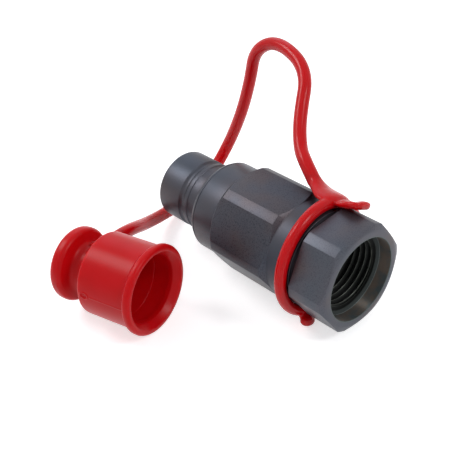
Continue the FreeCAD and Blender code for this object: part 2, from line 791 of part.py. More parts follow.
def build_lanyard_cord(ring, cap):
    """Cord from the strap to the cap's root: straight runs joined by tangent arcs."""
    pitch = math.radians(value("cord_exit_pitch"))
    start = ring.Placement.multVec(Vector(-value("cord_exit_at"), 0, value("cord_exit_height")))
    leave = ring.Placement.Rotation.multVec(Vector(-math.cos(pitch), 0, math.sin(pitch)))
    slope = math.radians(value("cap_root_slope"))
    reach = value("cap_root_outer")
    root_end = Vector(-value("cap_root_at"), reach, value("cap_root_height") - reach * math.tan(slope))
    end = cap.Placement.multVec(root_end)
    arrive = cap.Placement.Rotation.multVec(Vector(0, math.cos(slope), -math.sin(slope)))
    middle = [Vector(*point) for point in CORD_ROUTE]
    points = [start, start + leave * value("cord_first_run"), *middle, end + arrive * value("cord_last_run"), end]
    edges = []
    here = start
    radii = []
    for before, corner, after in zip(points, points[1:], points[2:]):
        back = before - corner
        ahead = after - corner
        reach = 0.45 * min(back.Length, ahead.Length)
        half_turn = (math.pi - back.getAngle(ahead)) / 2
        radii.append(reach / math.tan(half_turn))
        back.normalize()
        ahead.normalize()
        first = corner + back * reach
        last = corner + ahead * reach
        centre = corner + (back + ahead).normalize() * (radii[-1] / math.cos(half_turn))
        middle_point = centre + (corner - centre).normalize() * radii[-1]
        edges.append(Part.LineSegment(here, first).toShape())
        edges.append(Part.Arc(first, middle_point, last).toShape())
        here = last
    edges.append(Part.LineSegment(here, end).toShape())
    radius = value("cord_radius")
    cord = doc.addObject("Part::Feature", "lanyard_cord")
    cord.Label = "lanyard_cord"
    cord.Shape = swept_wire(edges, start, leave, radius)
    length = sum(edge.Length for edge in edges)
    expected = math.pi * radius ** 2 * length
    print("cord length", round(length, 1), "arc radii", [round(number, 1) for number in radii])
    print("cord volume", round(cord.Shape.Volume, 1), "of", round(expected, 1))
    print("cord points", [[round(number, 3) for number in point] for point in points])
    return cord


def build_all():
    poppet_gap = "(poppet_radius + poppet_clearance)"
    seal_front = "(nose_gland_front - seal_clearance)"
    front_backup_end = f"({seal_front} - nose_backup_width)"
    seal_end = f"({front_backup_end} - nose_seal_width)"
    gland_back = "(gland_start + gland_length)"
    head_back = "(chamber_front - flange_length)"
    bore = "(pilot_radius + pilot_clearance)"
    ring = build_lanyard_ring()
    cap = build_dust_cap()
    parts = [
        build_nose_body(),
        build_port_adapter(),
        plain_ring(
            "seal_backup_front",
            seal_front,
            front_backup_end,
            poppet_gap,
            "nose_gland_radius - seal_clearance",
        ),
        plain_ring(
            "nose_seal",
            front_backup_end,
            seal_end,
            poppet_gap,
            "nose_gland_radius - seal_clearance",
            "nose_seal_edge",
        ),
        plain_ring(
            "seal_backup_rear",
            seal_end,
            f"{seal_end} - nose_backup_width",
            poppet_gap,
            "nose_gland_radius - seal_clearance",
        ),
        build_poppet_head(),
        build_poppet_stem(),
        plain_ring(
            "stem_o_ring",
            f"{head_back} + stem_seal_depth - seal_clearance",
            f"{head_back} + seal_clearance",
            "stem_radius + seal_clearance",
            "stem_seal_radius - seal_clearance",
            "stem_seal_edge",
        ),
        build_stem_lock_nut(),
        plain_ring(
            "spring_seat_washer",
            head_back,
            f"{head_back} - seat_washer_height",
            "seat_washer_bore",
            "seat_washer_radius",
        ),
        build_valve_spring(),
        build_valve_guide(),
        plain_ring(
            "guide_bush",
            "guide_hub_front",
            "clip_groove_front",
            "stem_radius + bush_clearance",
            "bush_radius - seal_clearance",
        ),
        build_retaining_ring(),
        plain_ring(
            "body_o_ring",
            f"{gland_back} - seal_clearance",
            f"{gland_back} - seal_clearance - body_seal_width",
            "gland_floor_radius + seal_clearance",
            f"{bore} - seal_clearance",
            "body_seal_edge",
        ),
        plain_ring(
            "body_backup_ring",
            "gland_start + seal_clearance + backup_width",
            "gland_start + seal_clearance",
            "gland_floor_radius + seal_clearance",
            f"{bore} - seal_clearance",
        ),
        ring,
        cap,
    ]
    doc.recompute()
    parts.append(build_lanyard_cord(ring, cap))
    return parts


PARTS = build_all()
doc.recompute()

# Nothing is written unless every object is sound
faults = [item.Name for item in doc.Objects if {"Invalid", "Error"} & set(item.State)]
for item in PARTS:
    if item.Shape.isNull() or not item.Shape.isValid() or len(item.Shape.Solids) != 1:
        faults.append(item.Label + " shape")
if faults:
    raise RuntimeError("failed: " + ", ".join(faults))

os.makedirs("parts", exist_ok=True)
for item in PARTS:
    item.Shape.exportStep(f"parts/{item.Label}.step")
    box = item.Shape.BoundBox
    print(item.Label, round(item.Shape.Volume, 1), [round(number, 2) for number in (
        box.XMin, box.XMax, box.YMin, box.YMax, box.ZMin, box.ZMax)])
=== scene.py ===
# %% [markdown]
# # A hydraulic quick coupler with its dust cap
#
# The object is the plug half of a flat-face quick coupler. Its steel body is turned and milled and
# has a dark zinc-nickel plate. A soft red lanyard is moulded in one piece: a ring that sits in the
# coupler's neck, a standing cord, and a dust cap for the nose.
#
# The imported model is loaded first. Everything that follows is placed in its frame: X runs along
# the coupler's axis and out of the port, and Z is up.

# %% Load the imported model
import math

import bpy
import numpy as np
from mathutils import Matrix, Vector


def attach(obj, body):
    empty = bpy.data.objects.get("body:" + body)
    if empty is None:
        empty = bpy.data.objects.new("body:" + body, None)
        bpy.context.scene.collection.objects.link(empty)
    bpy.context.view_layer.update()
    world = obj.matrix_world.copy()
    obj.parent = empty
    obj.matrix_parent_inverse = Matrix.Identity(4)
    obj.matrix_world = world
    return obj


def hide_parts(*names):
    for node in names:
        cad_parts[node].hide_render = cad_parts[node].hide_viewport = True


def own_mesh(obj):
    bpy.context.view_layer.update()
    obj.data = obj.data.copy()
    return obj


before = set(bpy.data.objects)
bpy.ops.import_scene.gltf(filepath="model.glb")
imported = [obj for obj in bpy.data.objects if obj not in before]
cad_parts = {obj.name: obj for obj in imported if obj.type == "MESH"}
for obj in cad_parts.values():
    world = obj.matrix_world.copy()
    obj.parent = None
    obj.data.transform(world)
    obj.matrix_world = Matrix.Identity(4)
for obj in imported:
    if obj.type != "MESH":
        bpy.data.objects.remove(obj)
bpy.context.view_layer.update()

# %% [markdown]
# ## Units and small helpers
#
# The drawing of the coupler is in millimetres and Blender works in metres, so sizes are written in
# millimetres and multiplied once, where vertices are placed.
#
# Operators act on what is selected, and the loaded model is selected, so `start_edit` clears the
# selection before it opens one object.

# %% Units and helpers
MM = 0.001
TIGHT = 1e-6  # metres: vertices closer than this are one vertex


def start_edit(piece, select="SELECT"):
    """Opens one object in edit mode with everything or nothing of it selected."""
    bpy.ops.object.select_all(action="DESELECT")
    piece.select_set(True)
    bpy.context.view_layer.objects.active = piece
    bpy.ops.object.mode_set(mode="EDIT")
    bpy.ops.mesh.select_all(action=select)


def end_edit():
    bpy.ops.object.mode_set(mode="OBJECT")


def apply_modifiers(piece):
    bpy.ops.object.select_all(action="DESELECT")
    piece.select_set(True)
    bpy.context.view_layer.objects.active = piece
    for modifier in list(piece.modifiers):
        bpy.ops.object.modifier_apply(modifier=modifier.name)


def settle(piece):
    """Moves an object's place, turn and size into its mesh."""
    bpy.ops.object.select_all(action="DESELECT")
    piece.select_set(True)
    bpy.context.view_layer.objects.active = piece
    bpy.ops.object.transform_apply(location=True, rotation=True, scale=True)


def get_points(piece):
    points = np.zeros(len(piece.data.vertices) * 3)
    piece.data.vertices.foreach_get("co", points)
    return points.reshape(-1, 3) / MM


def set_points(piece, points):
    piece.data.vertices.foreach_set("co", (np.asarray(points) * MM).ravel())
    piece.data.update()


def smooth_shade(piece, degrees=30):
    bpy.ops.object.select_all(action="DESELECT")
    piece.select_set(True)
    bpy.context.view_layer.objects.active = piece
    bpy.ops.object.shade_smooth_by_angle(angle=math.radians(degrees))


# %% [markdown]
# ## Camera
#
# The photograph looks down on the port from its front right. The view direction, the tilt, the
# distance and the focal length were fitted to the round and hexagonal edges of the real coupler, so
# the camera only needs these few numbers. There is no lens shift and no depth of field.

# %% Camera at the photograph's view
AZIMUTH = math.radians(51.177)
ELEVATION = math.radians(37.446)
ROLL = math.radians(-7.426)
CAMERA_PLACE = Vector((108.378, -127.990, 148.579)) * MM
FOCAL_LENGTH = 71.61  # millimetres
SENSOR_WIDTH = 36

back = Vector((
    math.sin(AZIMUTH) * math.cos(ELEVATION),
    -math.cos(AZIMUTH) * math.cos(ELEVATION),
    math.sin(ELEVATION),
))
level_right = Vector((math.cos(AZIMUTH), math.sin(AZIMUTH), 0))
level_up = back.cross(level_right)
right = level_right * math.cos(ROLL) + level_up * math.sin(ROLL)
up = level_up * math.cos(ROLL) - level_right * math.sin(ROLL)

camera_data = bpy.data.cameras.new("view")
camera_data.lens = FOCAL_LENGTH
camera_data.sensor_width = SENSOR_WIDTH
camera_data.clip_start = 0.01
camera = bpy.data.objects.new("view", camera_data)
bpy.context.scene.collection.objects.link(camera)
turn = Matrix((right, up, back)).transposed().to_4x4()
camera.matrix_world = Matrix.Translation(CAMERA_PLACE) @ turn
bpy.context.scene.camera = camera
print("camera", round(CAMERA_PLACE.length / MM), "mm from the port")

# %% [markdown]
# ## Materials: the helpers
#
# A material is a small tree of nodes. `add_node` makes one node with its settings and joins what it
# is given: a socket becomes a link and anything else becomes the socket's own value. Colours are
# written as they look on a screen and turned to linear light once.

# %% Material helpers
MIX_SOCKETS = (0, 6, 7)  # the Mix node's factor and its two colours
MIX_RESULT = 2


def linear(hex_colour):
    """sRGB hex to the linear colour that Blender's sockets hold."""
    channels = [int(hex_colour[i:i + 2], 16) / 255 for i in (1, 3, 5)]
    return [c / 12.92 if c <= 0.04045 else ((c + 0.055) / 1.055) ** 2.4 for c in channels] + [1.0]


def add_node(tree, kind, settings=None, inputs=None):
    node = tree.nodes.new(kind)
    for name, setting in (settings or {}).items():
        setattr(node, name, setting)
    for name, given in (inputs or {}).items():
        if isinstance(given, bpy.types.NodeSocket):
            tree.links.new(given, node.inputs[name])
        else:
            node.inputs[name].default_value = given
    return node


def new_material(name, settings):
    """A material with a Principled shader whose constant values are set on its own sockets."""
    material = bpy.data.materials.new(name)
    material.use_nodes = True
    shader = material.node_tree.nodes["Principled BSDF"]
    for socket, setting in settings.items():
        shader.inputs[socket].default_value = setting
    return material, material.node_tree, shader


def blend(tree, kind, factor, first, second):
    """Mixes two colours in the given way by the given factor."""
    node = add_node(tree, "ShaderNodeMix", {"data_type": "RGBA", "blend_type": kind})
    for socket, given in zip(MIX_SOCKETS, (factor, first, second)):
        if isinstance(given, bpy.types.NodeSocket):
            tree.links.new(given, node.inputs[socket])
        else:
            node.inputs[socket].default_value = given
    return node.outputs[MIX_RESULT]


def ramp(tree, factor, stops):
    """A colour ramp with the given (position, hex colour) stops."""
    node = add_node(tree, "ShaderNodeValToRGB", inputs={"Fac": factor})
    elements = node.color_ramp.elements
    for element, (position, colour) in zip(elements, (stops[0], stops[-1])):
        element.position = position
        element.color = linear(colour)
    for position, colour in stops[1:-1]:
        elements.new(position).color = linear(colour)
    return node


def use(piece, material):
    piece.data.materials.clear()
    piece.data.materials.append(material)


print("a pure red is", [round(c, 3) for c in linear("#FF0000")], "in linear light")

# %% [markdown]
# ## Plated steel
#
# The body is free-cutting steel with a dark zinc-nickel plate. The plate is a conversion-coated
# metal: it reflects like metal, but dimly and with soft edges. Under it the cutter's marks remain.
# On turned faces they are fine rings about the axis, about 0.1 mm apart, and on the milled flats
# they are the fine grain of a side mill, about 0.1 mm too. Both are drawn about 0.3 mm apart here,
# because finer ones would vanish at this size. The plate's colour drifts from blue-grey to
# brown-grey, as its passivation does.
#
# An image could hold such marks, but noise on the object's own coordinates needs no unwrapping and
# runs over every edge without a seam.

# %% Plated steel
RING_MARKS = 0.35 * MM
GRAIN = 0.32 * MM
DRIFT = 14 * MM
NECK_RADIUS = 13.45  # the flats and corners of the hexagons lie outside it
PLATE_METALLIC = 0.85


def radius_from_axis(tree, axes):
    """Distance of a point from the coupler's axis."""
    squares = [
        add_node(
            tree, "ShaderNodeMath", {"operation": "MULTIPLY"},
            {0: axes.outputs[axis], 1: axes.outputs[axis]},
        ).outputs["Value"]
        for axis in "YZ"
    ]
    total = add_node(
        tree, "ShaderNodeMath", {"operation": "ADD"},
        {0: squares[0], 1: squares[1]},
    ).outputs["Value"]
    return add_node(tree, "ShaderNodeMath", {"operation": "SQRT"}, {0: total}).outputs["Value"]


def make_plated_steel(name, plate, speckles, paint_light_inside=None):
    """Plated steel whose colour drifts through three tones, with speckles on the milled flats."""
    material, tree, shader = new_material(name, {"Metallic": PLATE_METALLIC})
    place = add_node(tree, "ShaderNodeTexCoord").outputs["Object"]
    axes = add_node(tree, "ShaderNodeSeparateXYZ", inputs={"Vector": place})
    radius = radius_from_axis(tree, axes)
    rings = add_node(
        tree, "ShaderNodeTexNoise", {"noise_dimensions": "1D"},
        {"W": axes.outputs["X"], "Scale": 1 / RING_MARKS, "Detail": 3.0, "Roughness": 0.7},
    )
    grain = add_node(
        tree, "ShaderNodeTexNoise", None,
        {"Vector": place, "Scale": 1 / GRAIN, "Detail": 3.0, "Roughness": 0.65},
    )
    drift = add_node(
        tree, "ShaderNodeTexNoise", None,
        {"Vector": place, "Scale": 1 / DRIFT, "Detail": 2.0},
    )
    milled = add_node(
        tree, "ShaderNodeMath", {"operation": "GREATER_THAN"},
        {0: radius, 1: NECK_RADIUS * MM},
    ).outputs["Value"]
    colour = ramp(tree, drift.outputs["Fac"], list(zip((0.34, 0.5, 0.66), plate)))
    speckle = ramp(tree, grain.outputs["Fac"], [(0.36, speckles), (0.5, "#FFFFFF")])
    shade = blend(tree, "MULTIPLY", milled, colour.outputs["Color"], speckle.outputs["Color"])
    if paint_light_inside:
        shade = paint_light_inside(tree, radius, axes.outputs["X"], shade, shader)
    tree.links.new(shade, shader.inputs["Base Color"])
    rough = add_node(tree, "ShaderNodeMapRange", None, {
        "Value": grain.outputs["Fac"],
        "From Min": 0.3, "From Max": 0.7, "To Min": 0.38, "To Max": 0.48,
    })
    tree.links.new(rough.outputs["Result"], shader.inputs["Roughness"])
    turned_bump = add_node(
        tree, "ShaderNodeBump", None,
        {"Height": rings.outputs["Fac"], "Strength": 0.35, "Distance": 0.03 * MM},
    )
    bump = add_node(tree, "ShaderNodeBump", None, {
        "Height": grain.outputs["Fac"],
        "Strength": 0.15,
        "Distance": 0.02 * MM,
        "Normal": turned_bump.outputs["Normal"],
    })
    tree.links.new(bump.outputs["Normal"], shader.inputs["Normal"])
    return material


PLATE = ("#42464F", "#47474E", "#4D474A")
# Zinc-nickel plate on turned and milled steel: dark, with a soft metallic sheen
plated_steel = make_plated_steel("zinc_nickel_plated_steel", PLATE, "#C4C4CA")
print("plated steel with", len(plated_steel.node_tree.nodes), "nodes")

# %% [markdown]
# ## The tapped bore and the turned mouth
#
# The port piece has the same plate, painted a little lighter as painted light, and two places on it
# look different. In the tapped bore, painted shade darkens the grooves of the thread and painted
# highlights lighten the crests and the edge of the mouth's step. The colour there follows the
# distance from the axis, so it lies along the helix without any drawing. The painted shade deepens
# towards the back, where little light gets in.
# The wall of the mouth is turned with a coarse feed. Its grooves run round the axis and draw a
# lamp into a streak across them. An anisotropic finish does that, with its tangent round the axis.

# %% The tapped bore and the turned mouth
THREAD_CREST = 9.32
MOUTH = 11.45
BORE_REACH = MOUTH + 0.3  # all that is nearer to the axis belongs to the bore
BORE_METALLIC = 0.6
# Painted shade: where the bore begins to be painted darker, and where it is darkest
BORE_PAINTED_SHADE = (-4.0, -13.0)  # where the bore begins to darken, and where it is darkest
MOUTH_DRIFT = 3 * MM


def paint_bore_shade_and_highlights(tree, radius, along, shade, shader):
    """The tapped bore: painted shade in the grooves, and painted highlights on the crests near the
    front.
    """
    inside = add_node(
        tree, "ShaderNodeMath", {"operation": "LESS_THAN"},
        {0: radius, 1: BORE_REACH * MM},
    ).outputs["Value"]
    depth = add_node(
        tree, "ShaderNodeMapRange", None,
        {"Value": radius, "From Min": THREAD_CREST * MM, "From Max": MOUTH * MM},
    )
    # Painted light and shade by distance from the axis: painted highlights on the crests, painted
    # shade in the grooves, a mid tone on the lead-in cone and a painted highlight on the edge of the
    # mouth's step
    crest = [(0.0, "#5E605A"), (0.02, "#464943")]
    groove = [(0.07, "#111613"), (0.3, "#050807"), (0.5, "#050807")]
    lead_in = [(0.57, "#242A28"), (0.95, "#262C2C")]
    rim = [(0.98, "#626866"), (1.0, "#4A5252")]
    bore = ramp(tree, depth.outputs["Result"], crest + groove + lead_in + rim)
    # Painted shade, deeper towards the back of the bore
    way_in = add_node(
        tree, "ShaderNodeMapRange", None,
        {"Value": along, "From Min": BORE_PAINTED_SHADE[0] * MM, "From Max": BORE_PAINTED_SHADE[1] * MM},
    )
    fade = ramp(tree, way_in.outputs["Result"], [(0.0, "#FFFFFF"), (1.0, "#8C8C8C")])
    metallic = add_node(
        tree, "ShaderNodeMapRange", None,
        {"Value": inside, "To Min": PLATE_METALLIC, "To Max": BORE_METALLIC},
    )
    tree.links.new(metallic.outputs["Result"], shader.inputs["Metallic"])
    faded = blend(tree, "MULTIPLY", 1.0, bore.outputs["Color"], fade.outputs["Color"])
    return blend(tree, "MIX", inside, shade, faded)


def make_turned_mouth():
    """The mouth's wall, a coarse turned face."""
    material, tree, shader = new_material("turned_mouth_of_plated_steel", {
        "Metallic": 0.9, "Roughness": 0.5, "Anisotropic": 1.0, "Anisotropic Rotation": 0.25,
    })
    place = add_node(tree, "ShaderNodeTexCoord").outputs["Object"]
    drift = add_node(
        tree, "ShaderNodeTexNoise", None,
        {"Vector": place, "Scale": 1 / MOUTH_DRIFT, "Detail": 3.0},
    )
    colour = ramp(tree, drift.outputs["Fac"], [(0.35, "#4A5254"), (0.62, "#625850")])
    tree.links.new(colour.outputs["Color"], shader.inputs["Base Color"])
    around = add_node(tree, "ShaderNodeTangent", {"direction_type": "RADIAL", "axis": "X"})
    tree.links.new(around.outputs["Tangent"], shader.inputs["Tangent"])
    return material


# Painted light: the port piece's plate and its speckles are painted a little lighter than the body's
TAPPED_PLATE_PAINTED_LIGHTER = ("#4C5058", "#515158", "#575254")
# The same plate, painted a little brighter outside as painted light, with painted shade and
# highlights in the thread inside
tapped_steel = make_plated_steel(
    "tapped_zinc_nickel_plated_steel", TAPPED_PLATE_PAINTED_LIGHTER, "#DCDCE2", paint_light_inside=paint_bore_shade_and_highlights,
)
# Coarse turning: one bright streak on each side of the mouth
turned_mouth = make_turned_mouth()
print("port finishes:", tapped_steel.name, "and", turned_mouth.name)

# %% [markdown]
# ## Soft red PVC
#
# The cap and lanyard are injection-moulded soft PVC. The colour is deep, and light goes a few
# millimetres in, red most of all, so thin edges glow. The mould leaves a very slight waviness that
# breaks up the highlights. The mould's polish decides the gloss: the ring and the cord come out
# glossy, and the cap, whose half of the mould is duller, has broad soft highlights.

# %% Soft red PVC
MOULD_WAVES = 3 * MM
PIGMENT_DRIFT = 9 * MM


def make_red_pvc(name, roughness, gloss):
    material, tree, shader = new_material(name, {
        "Roughness": roughness,
        "Specular IOR Level": gloss,
        "IOR": 1.53,
        "Subsurface Weight": 0.6,
        "Subsurface Radius": (4.0 * MM, 0.4 * MM, 0.25 * MM),
        "Subsurface Scale": 1.0,
    })
    place = add_node(tree, "ShaderNodeTexCoord").outputs["Object"]
    drift = add_node(
        tree, "ShaderNodeTexNoise", None,
        {"Vector": place, "Scale": 1 / PIGMENT_DRIFT, "Detail": 2.0},
    )
    colour = ramp(tree, drift.outputs["Fac"], [(0.3, "#C4080F"), (0.7, "#CC0A13")])
    tree.links.new(colour.outputs["Color"], shader.inputs["Base Color"])
    waves = add_node(
        tree, "ShaderNodeTexNoise", None,
        {"Vector": place, "Scale": 1 / MOULD_WAVES, "Detail": 2.0},
    )
    bump = add_node(
        tree, "ShaderNodeBump", None,
        {"Height": waves.outputs["Fac"], "Strength": 0.12, "Distance": 0.15 * MM},
    )
    tree.links.new(bump.outputs["Normal"], shader.inputs["Normal"])
    return material


# From a polished mould: small sharp highlights
red_pvc = make_red_pvc("soft_red_pvc_polished_mould", roughness=0.22, gloss=0.17)
# From a duller mould: broad soft highlights
dull_red_pvc = make_red_pvc("soft_red_pvc_dull_mould", roughness=0.32, gloss=0.13)
print("PVC finishes:", red_pvc.name, "and", dull_red_pvc.name)

# %% [markdown]
# ## Recipes for the inner pieces
#
# The valve, its spring and the seals are small and mostly hidden, but they show through the port
# and at the nose. They share one recipe for plain metal and one for rubber and plastic: a colour
# with a fine grain in the roughness, of rings on turned metal and of specks on what is moulded. The
# metal's recipe also gives the nearly black steel that is painted shade in a narrow relief on the
# body.

# %% Recipes for the inner pieces
MOULD_GRAIN = 0.4 * MM


def make_metal(name, colour, roughness, metallic=1.0):
    material, tree, shader = new_material(
        name, {"Metallic": metallic, "Base Color": linear(colour)},
    )
    place = add_node(tree, "ShaderNodeTexCoord").outputs["Object"]
    along = add_node(tree, "ShaderNodeSeparateXYZ", inputs={"Vector": place}).outputs["X"]
    rings = add_node(
        tree, "ShaderNodeTexNoise", {"noise_dimensions": "1D"},
        {"W": along, "Scale": 1 / RING_MARKS, "Detail": 2.0},
    )
    rough = add_node(
        tree, "ShaderNodeMapRange", None,
        {"Value": rings.outputs["Fac"], "To Min": roughness - 0.06, "To Max": roughness + 0.06},
    )
    tree.links.new(rough.outputs["Result"], shader.inputs["Roughness"])
    return material


def make_moulded(name, colour, roughness):
    material, tree, shader = new_material(name, {"Base Color": linear(colour)})
    place = add_node(tree, "ShaderNodeTexCoord").outputs["Object"]
    grain = add_node(
        tree, "ShaderNodeTexNoise", None,
        {"Vector": place, "Scale": 1 / MOULD_GRAIN, "Detail": 2.0},
    )
    rough = add_node(
        tree, "ShaderNodeMapRange", None,
        {"Value": grain.outputs["Fac"], "To Min": roughness - 0.08, "To Max": roughness + 0.08},
    )
    tree.links.new(rough.outputs["Result"], shader.inputs["Roughness"])
    return material


print("rings", RING_MARKS / MM, "mm and specks", MOULD_GRAIN / MM, "mm apart")

# %% [markdown]
# ## Finishes of the inner pieces
#
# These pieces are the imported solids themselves. They are small, and modelling them again would show
# nothing more, so each only gets its finish and smooth shading.

# %% Finishes of the inner pieces
# Plated, then ground flat: grey, with a satin gloss
ground_steel = make_metal("ground_plated_steel", "#76767C", 0.32)
# Turned and left bare: bright, with fine rings
turned_steel = make_metal("turned_steel", "#97979B", 0.3)
# Drawn wire under a film of oil: a brownish grey
spring_steel = make_metal("oiled_spring_steel", "#6A6660", 0.35)
# Turned bearing bronze: a dull yellow
bronze = make_metal("plain_bronze", "#B08848", 0.4)
# Painted shade for the narrow relief: nearly black plated steel, and less metallic
relief_painted_shade_steel = make_metal("painted_shade_relief_steel", "#201E25", 0.5, metallic=0.7)
# Moulded rubber: black and dull
nitrile = make_moulded("nitrile_rubber", "#141416", 0.5)
# Turned from white rod: waxy, with a weak gloss
ptfe = make_moulded("white_ptfe", "#E4E1D8", 0.45)

INNER_FINISHES = {
    "poppet_head": ground_steel,
    "poppet_stem": turned_steel,
    "stem_lock_nut": turned_steel,
    "spring_seat_washer": turned_steel,
    "valve_guide": turned_steel,
    "valve_spring": spring_steel,
    "guide_retaining_ring": spring_steel,
    "guide_bush": bronze,
    "stem_o_ring": nitrile,
    "nose_seal": nitrile,
    "body_o_ring": nitrile,
    "seal_backup_front": ptfe,
    "seal_backup_rear": ptfe,
    "body_backup_ring": ptfe,
}
for node, material in INNER_FINISHES.items():
    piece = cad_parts[node]
    piece.data.materials.clear()
    piece.data.materials.append(material)
    smooth_shade(piece)
print(len(INNER_FINISHES), "inner pieces finished")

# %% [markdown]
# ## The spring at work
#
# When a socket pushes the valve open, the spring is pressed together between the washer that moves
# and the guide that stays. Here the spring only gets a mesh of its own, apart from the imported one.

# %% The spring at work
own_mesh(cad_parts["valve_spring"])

# %% [markdown]
# ## Lanyard cord
#
# The cord is the standing loop between the ring and the cap. A cord that hangs would be simulated,
# but this one is stiff and stands by itself, so its line is drawn. It is one smooth spline, thick
# as the real one, whose control points are the route of the solid cord. Order 3 keeps the line
# close to its control points, and both ends are reached exactly.

# %% Lanyard cord
CORD_DIAMETER = 3.7
CORD_ROUTE = [
    (-23.0, 8.8, 15.242),
    (-27.4, 10.45, 18.1),
    (-31.9, 13.4, 19.3),
    (-36.4, 18.5, 24.2),
    (-41.6, 28.1, 32.9),
    (-56.1, 31.9, 35.7),
    (-64.8, 30.7, 30.9),
    (-67.8, 30.5, 20.0),
    (-72.2, 29.3, 7.0),
    (-78.9, 27.8, -6.7),
    (-79.0, 18.6, -14.2),
    (-76.0, 3.0, -14.3),
    (-71.8, -11.6, -10.2),
    (-64.676, -23.37, -2.2),
    (-63.788, -26.784, -1.48),
]

bpy.ops.object.select_all(action="DESELECT")
cord_data = bpy.data.curves.new("lanyard_cord_line", "CURVE")
cord_data.dimensions = "3D"
spline = cord_data.splines.new("NURBS")
spline.points.add(len(CORD_ROUTE) - 1)
for point, place in zip(spline.points, CORD_ROUTE):
    point.co = (*(Vector(place) * MM), 1)
spline.order_u = 3
spline.use_endpoint_u = True
spline.resolution_u = 16
cord_data.bevel_depth = CORD_DIAMETER / 2 * MM
cord_data.bevel_resolution = 10
cord = bpy.data.objects.new("lanyard_cord_line", cord_data)
bpy.context.scene.collection.objects.link(cord)
cord_data.materials.append(red_pvc)
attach(cord, "lanyard")
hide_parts("lanyard_cord")
print("cord of", len(CORD_ROUTE), "points,", CORD_DIAMETER, "mm thick")

# %% [markdown]
# ## Lathe work
#
# The steel pieces and the cap are round, and each could be made of cylinders and booleans. One
# closed outline that is spun is closer to the lathe, and every step and groove is one point of it.
# `rounded` turns corners that have a radius into arcs. `turned` lays a circle's vertices on the
# outline, spins them about X, merges the seam and makes the faces point outwards.

# %% Lathe work


def rounded(corners, steps=6):
    """Outline in millimetres with each corner that has a radius turned into an arc."""
    outline = []
    count = len(corners)
    for i, corner in enumerate(corners):
        here = Vector(corner[:2])
        if len(corner) == 2:
            outline.append(here)
            continue
        to_last = (Vector(corners[i - 1][:2]) - here).normalized()
        to_next = (Vector(corners[(i + 1) % count][:2]) - here).normalized()
        half = to_last.angle(to_next) / 2
        centre = here + (to_last + to_next).normalized() * (corner[2] / math.sin(half))
        first = here + to_last * (corner[2] / math.tan(half)) - centre
        last = here + to_next * (corner[2] / math.tan(half)) - centre
        sweep = math.atan2(first.x * last.y - first.y * last.x, first.dot(last))
        count_steps = max(2, round(steps * abs(sweep) / (math.pi / 2)))
        for k in range(count_steps + 1):
            turn = sweep * k / count_steps
            outline.append(centre + Vector((
                first.x * math.cos(turn) - first.y * math.sin(turn),
                first.x * math.sin(turn) + first.y * math.cos(turn),
            )))
    return outline


def turned(name, outline, steps=160):
    """Lathe work: a circle's vertices are laid on a closed outline of (x, r) and spun about X."""
    bpy.ops.object.select_all(action="DESELECT")
    bpy.ops.mesh.primitive_circle_add(vertices=len(outline), radius=1)
    piece = bpy.context.object
    piece.name = piece.data.name = name
    set_points(piece, [(point[0], 0, point[1]) for point in outline])
    start_edit(piece)
    bpy.ops.mesh.spin(steps=steps, angle=math.tau, center=(0, 0, 0), axis=(1, 0, 0))
    bpy.ops.mesh.select_all(action="SELECT")
    bpy.ops.mesh.remove_doubles(threshold=TIGHT)
    bpy.ops.mesh.normals_make_consistent(inside=False)
    end_edit()
    print(name, len(piece.data.polygons), "faces")
    return piece


print("a right corner becomes", len(rounded([(0, 0), (1, 0, 0.2), (1, 1)])) - 2, "points")

# %% [markdown]
# ## Nose body
#
# The front half is turned from hexagon bar: nose, ball groove, collar, hexagon and neck. The list
# is its outline, first outside and then back through the bore. Small radii stand where the real
# edges are broken. Between the neck and the other steel piece runs a narrow relief.

# %% Nose body
HEX_FLATS = 27.0
HEX_CORNER = 14.85
NECK = 13.4
PARTING = 11.0  # behind the port face, where the two steel pieces meet
RELIEF = 12.85  # floor of the narrow relief between the port's hexagon and the lanyard ring
RELIEF_BACK = 12.4
NOSE_END = 66.5
NOSE = 9.95
EDGE = 0.15
BALL = 1.6
BALL_GROOVE_AT = 57.05
BALL_GROOVE_DEPTH = 0.52


def ball_groove(steps=10):
    """Arc of the ball groove, from the nose side to the hexagon side."""
    centre = NOSE - BALL_GROOVE_DEPTH + BALL
    reach = math.acos((centre - NOSE) / BALL)
    angles = [reach - 2 * reach * k / steps for k in range(steps + 1)]
    return [(-BALL_GROOVE_AT - BALL * math.sin(a), centre - BALL * math.cos(a)) for a in angles]


NOSE_OUTLINE = [
    (-NOSE_END, 6.05, EDGE),
    (-NOSE_END, NOSE, 0.6),
    *ball_groove(),
    (-54.75, NOSE, EDGE),
    (-54.6, 9.75, EDGE / 2),
    (-49.6, 9.75, 2.6),
    (-49.6, 12.45, EDGE / 2),
    (-48.65, 12.97, EDGE / 2),
    (-48.52, 12.97),
    (-48.42, 12.77),
    (-48.32, 12.77),
    (-48.22, 12.97),
    (-41.3, 12.97, 0.4),
    (-39.44, HEX_CORNER, EDGE),
    (-21.34, HEX_CORNER, EDGE),
    (-20.3, NECK, 0.25),
    (-RELIEF_BACK, NECK, EDGE),
    (-12.1, RELIEF, EDGE),
    (-PARTING, RELIEF),
    (-PARTING, 12.03),
    (-18.0, 12.03),
    (-18.0, 10.05),
    (-24.2, 10.05),
    (-24.2, 10.9),
    (-25.4, 10.9),
    (-25.4, 10.05),
    (-29.5, 10.05),
    (-29.5, 8.0),
    (-58.0, 8.0),
    (-58.0, 6.05),
    (-59.3, 6.05),
    (-59.3, 7.6),
    (-63.3, 7.6),
    (-63.3, 6.05),
]

nose = turned("coupler_body", rounded(NOSE_OUTLINE))

# %% [markdown]
# ## Flats of the nose body
#
# The flats are milled after the turning. A boolean with a hexagonal bar could cut them, but six
# bisections leave a cleaner mesh: each cuts off what lies outside one plane and closes the cut. A
# narrow bevel then softens the cut edges. The relief's faces get a nearly black finish of their
# own, as painted shade in the gap between the port's hexagon and the lanyard ring.

# %% Flats of the nose body
MARGIN = 0.05  # keeps the bounds of a second finish clear of the corners of faces


